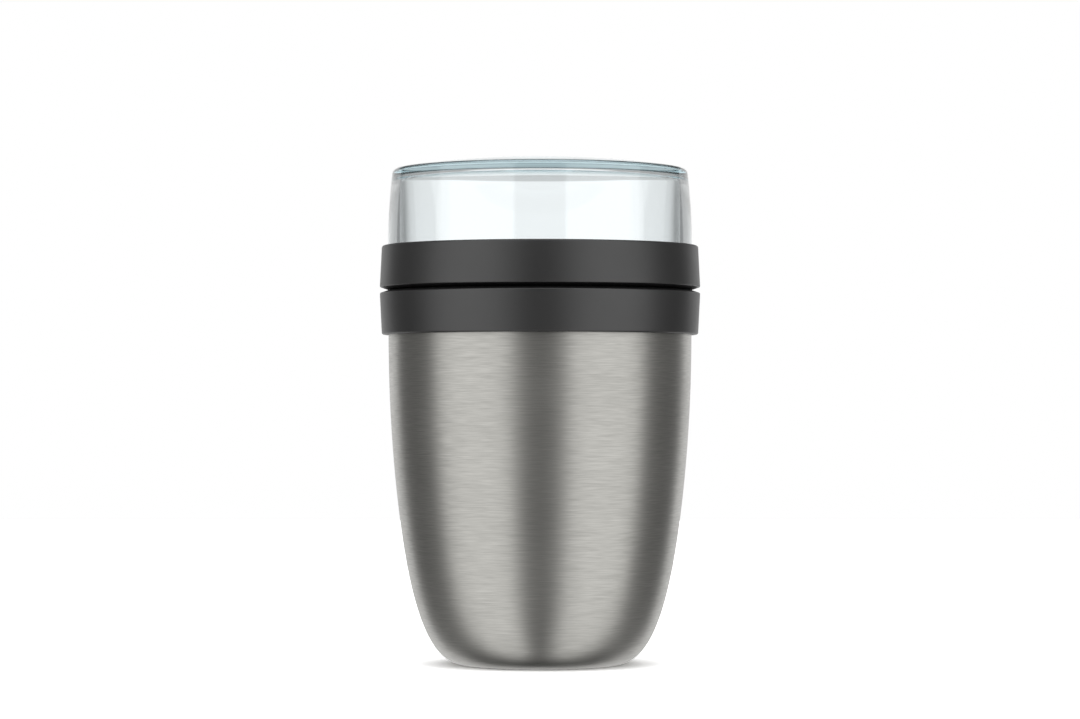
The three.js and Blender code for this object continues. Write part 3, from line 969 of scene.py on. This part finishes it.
collarInside = {
    "bore": 52.3,
    "boreRound": 0.3,
    "thread": 51.0,
    "threadLow": 121.4,
    "crest": 49.8,
    "flangeInner": 49.3,
    "flangeLow": 119.8,
    "flangeHigh": 121.0,
    "flangeRound": 0.3,
    "cornerRound": 0.2,
    "bead": 51.6,  # snaps into the groove of the steel
    "beadLevels": (116.5, 116.0, 115.2, 114.7),
}

lidRing = {
    "bore": 52.6,
    "rimRound": 0.5,
    "floorThickness": 2.0,
    "floorRound": 0.8,
    "dish": (38.0, 37.6),  # radii of the step down to the dished floor
    "dishDepth": 0.3,
    "dishRound": 0.3,
    "gate": (1.8, 1.6),  # the same for the mark of the moulding gate
    "gateDepth": 0.5,
    "gateRound": 0.1,
    "skirtInner": 47.6,
    "skirtRound": 0.4,
    "skirtInnerRound": 0.3,
    "threadRoot": 49.4,
    "threadCrest": 50.6,
    "threadRound": 0.3,
    "socketCrest": 51.4,
    "socketHigh": 140.7,
}


def makeCollar():
    inside = collarInside
    bore, thread, flange, bead = inside["bore"], inside["thread"], inside["flangeInner"], inside["bead"]
    lipLevel = collarHigh - ring["grooveRise"]
    beadTop, beadHigh, beadLow, beadFoot = inside["beadLevels"]
    section = rounded([
        (bore, collarLow, inside["boreRound"]),
        (ring["edge"], collarLow, ring["edgeRound"]),
        (ring["proud"], lipLevel, ring["lipRound"]),
        (ring["groove"], collarHigh, ring["grooveRound"]),
        (thread, collarHigh, ring["grooveRound"]),
        (thread, inside["flangeHigh"], inside["cornerRound"]),
        (flange, inside["flangeHigh"], inside["flangeRound"]),
        (flange, inside["flangeLow"], inside["flangeRound"]),
        (bore, inside["flangeLow"], inside["cornerRound"]),
        (bore, beadTop, 0),
        (bead, beadHigh, 0),
        (bead, beadLow, 0),
        (bore, beadFoot, 0),
    ])
    collar = turned("collarRing", section)
    joinRidges(collar, ridges("collarRidges", thread, inside["crest"], inside["threadLow"], collarHigh, True))
    fit(collar, makeBlackPlastic("collarPlastic", lipLevel), "pot", "collar")


def makeLid():
    lid = lidRing
    proud, low, high = spanOf("lid_body")
    face = collarHigh + ring["gap"]  # underside of the ring, over the collar
    floorLow = face + ring["grooveRise"]
    floorHigh = floorLow + lid["floorThickness"]
    dished = floorHigh - lid["dishDepth"]
    gateFloor = floorHigh - lid["gateDepth"]
    section = rounded([
        (0, floorLow, 0),
        (lid["skirtInner"], floorLow, lid["skirtRound"]),
        (lid["skirtInner"], low, lid["skirtInnerRound"]),
        (lid["threadRoot"], low, lid["skirtRound"]),
        (lid["threadRoot"], face, lid["threadRound"]),
        (ring["groove"], face, ring["grooveRound"]),
        (proud, floorLow, ring["lipRound"]),
        (ring["edge"], high, ring["edgeRound"]),
        (lid["bore"], high, lid["rimRound"]),
        (lid["bore"], floorHigh, lid["floorRound"]),
        (lid["dish"][0], floorHigh, lid["dishRound"]),
        (lid["dish"][1], dished, lid["dishRound"]),
        (lid["gate"][0], dished, lid["gateRound"]),
        (lid["gate"][1], gateFloor, lid["gateRound"]),
        (0, gateFloor, 0),
    ])
    cupLow = spanOf("clear_cup")[1]
    body = turned("lidRing", section)
    joinRidges(body, ridges("skirtRidges", lid["threadRoot"], lid["threadCrest"], low, collarHigh, False),
               ridges("socketRidges", lid["bore"], lid["socketCrest"], cupLow, lid["socketHigh"], True))
    fit(body, makeBlackPlastic("lidPlastic", high), "lid", "lid_body")


plug = {
    "radius": 45.7,
    "wall": 1.6,
    "round": 2.0,
    "topRound": 0.3,
    "cornerRound": 0.2,
    "lip": 46.5,
    "lipTop": 118.5,
    "lipHeight": 0.6,
    "lipSlope": 0.6,  # below the lip
    "lipRound": 0.15,
    "flange": 47.3,
    "flangeLow": 121.3,
    "flangeHigh": 122.5,
    "dish": (34.0, 34.6),  # radii of the step up to the dished underside
    "dishDepth": 0.3,
    "dishRound": 0.5,
    "gate": (1.6, 1.8),  # the same for the mark of the moulding gate
    "gateDepth": 0.5,
    "gateRound": 0.1,
}


def makePlug():
    _, low, high = spanOf("lid_bottom")
    radius, lip, flange, corner = plug["radius"], plug["lip"], plug["flange"], plug["cornerRound"]
    inside = radius - plug["wall"]
    floor = low + plug["wall"]
    dished = low + plug["dishDepth"]
    gateFloor = low + plug["gateDepth"]
    lipLow = plug["lipTop"] - plug["lipHeight"]
    section = rounded([
        (0, gateFloor, 0),
        (plug["gate"][0], gateFloor, plug["gateRound"]),
        (plug["gate"][1], dished, plug["gateRound"]),
        (plug["dish"][0], dished, plug["dishRound"]),
        (plug["dish"][1], low, plug["dishRound"]),
        (radius, low, plug["round"]),
        (radius, lipLow - plug["lipSlope"], corner),
        (lip, lipLow, corner),
        (lip, plug["lipTop"], plug["lipRound"]),
        (radius, plug["lipTop"], 0),
        (radius, plug["flangeLow"], 0),
        (flange, plug["flangeLow"], corner),
        (flange, plug["flangeHigh"], corner),
        (radius, plug["flangeHigh"], corner),
        (radius, high, plug["topRound"]),
        (inside, high, plug["topRound"]),
        (inside, floor, 0),
        (0, floor, 0),
    ])
    plastic = makeBlackPlastic("plugPlastic", low)
    fit(turned("lidPlug", section), plastic, "lid", "lid_bottom")


gaskets = {
    "lidInner": 46.0,
    "cupInner": 48.2,
    "collarInner": 49.6,
    "round": 0.5,
    "roundShare": 0.4,  # at most this share of the gasket's height
    "innerRound": 0.15,
    "roundSteps": 5,
    "valleyHalf": 0.25,  # between the two sealing lips of the lid's gasket
    "valleyDepth": 0.35,
    "valleyRound": 0.12,
    "lipRound": 0.1,
}


def makeGasket(name, body, node, inner, lips=False):
    outer, low, high = spanOf(node)
    soft = min(gaskets["round"], (high - low) * gaskets["roundShare"])
    corners = [(inner, low, gaskets["innerRound"]), (outer, low, soft),
               (outer, high, soft), (inner, high, gaskets["innerRound"])]
    if lips:
        middle = (low + high) / 2
        corners[2:2] = [(outer, middle - gaskets["valleyHalf"], gaskets["lipRound"]),
                        (outer - gaskets["valleyDepth"], middle, gaskets["valleyRound"]),
                        (outer, middle + gaskets["valleyHalf"], gaskets["lipRound"])]
    fit(turned(name, rounded(corners, gaskets["roundSteps"])), rubber, body, node)


makeCollar()
makeLid()
makePlug()
makeGasket("lidGasket", "lid_gasket", "lid_seal", gaskets["lidInner"], True)
makeGasket("cupGasket", "cup_gasket", "cup_seal", gaskets["cupInner"])
makeGasket("collarGasket", "pot", "collar_seal", gaskets["collarInner"])
print("black rings, plug and gaskets done")


# clear cup

cup = {
    "wall": 4.0,
    "threadRoot": 51.0,
    "shoulder": 141.5,
    "shoulderSlope": 0.8,
    "bowRadius": 216.0,
    "innerBowRadius": 960.0,
    "bowLevel": spanOf("lid_body")[2],  # the sides bow in above the lid's rim
    "domeRadius": 325.0,
    "edgeThickness": 2.4,  # plastic over the flat ceiling at the outer edge
    "edgeRound": 1.9,  # how far the outer edge is rounded over the top, and down the side
    "edgeDrop": 1.5,
    "ceilingRound": 2.9,
    "rimRound": 0.9,
    "steps": 24,
    "cornerSteps": 16,
}


# the same rounding as the frame's, with more points
def softCorner(before, corner, after):
    points = []
    for k in range(cup["cornerSteps"] + 1):
        t = k / cup["cornerSteps"]
        shares = ((1 - t) ** 2, 2 * t * (1 - t), t * t)
        points.append(pulled(shares, (before, corner, after)))
    return points


def makeCup():
    radius, low, top = spanOf("clear_cup")
    inner = radius - cup["wall"]
    steps, shoulder = cup["steps"], cup["shoulder"]

    def side(level, bow=cup["bowRadius"]):
        rise = max(0.0, level - cup["bowLevel"])
        return radius - rise * rise / (2 * bow)

    def innerSide(level):
        return side(level, cup["innerBowRadius"]) - cup["wall"]

    def dome(r):
        return top - r * r / (2 * cup["domeRadius"])

    # the outside, from the middle of the dome down to the thread
    edgeLevel = dome(side(dome(radius)))
    edge = (side(edgeLevel), edgeLevel)
    domeStart = edge[0] - cup["edgeRound"]
    over = [(domeStart * k / steps, dome(domeStart * k / steps)) for k in range(steps)]
    sideTop = edgeLevel - cup["edgeDrop"]
    corner = softCorner((domeStart, dome(domeStart)), edge, (side(sideTop), sideTop))
    wallLevels = [sideTop + (shoulder - sideTop) * k / steps for k in range(1, steps + 1)]
    outside = [(side(level), level) for level in wallLevels]
    threadTop = shoulder - cup["shoulderSlope"]
    rim = rounded([
        (cup["threadRoot"], threadTop, 0),
        (cup["threadRoot"], low, cup["rimRound"]),
        (inner, low, cup["rimRound"]),
        (inner, shoulder, 0),
    ])[:-1]

    # the inside, up to the flat ceiling
    ceiling = edgeLevel - cup["edgeThickness"]
    innerTop = ceiling - cup["ceilingRound"]
    innerLevels = [shoulder + (innerTop - shoulder) * k / steps for k in range(steps)]
    inside = [(innerSide(level), level) for level in innerLevels]
    innerEdge = (innerSide(ceiling), ceiling)
    ceilingStart = (innerEdge[0] - cup["ceilingRound"], ceiling)
    innerCorner = softCorner((innerSide(innerTop), innerTop), innerEdge, ceilingStart)

    section = over + corner + outside + rim + inside + innerCorner + [(0, ceiling)]
    made = turned("clearCup", section, turning["cupSegments"])
    joinRidges(made, ridges("cupRidges", cup["threadRoot"], radius, low, threadTop, False))
    fit(made, clearPlastic, "cup", "clear_cup")


makeCup()
print("cup done")


# pieces that stay closed away keep their solids

hidden = {
    "outer_bottom": innerSteel,
    "vacuum_seal_bead": sealGlass,
    "getter": pellet,
    "reflector_foil": copperFoil,
    "lid_foam": foam,
}

for name, finish in hidden.items():
    nodes[name].data.materials.clear()
    nodes[name].data.materials.append(finish)
print("closed pieces finished")
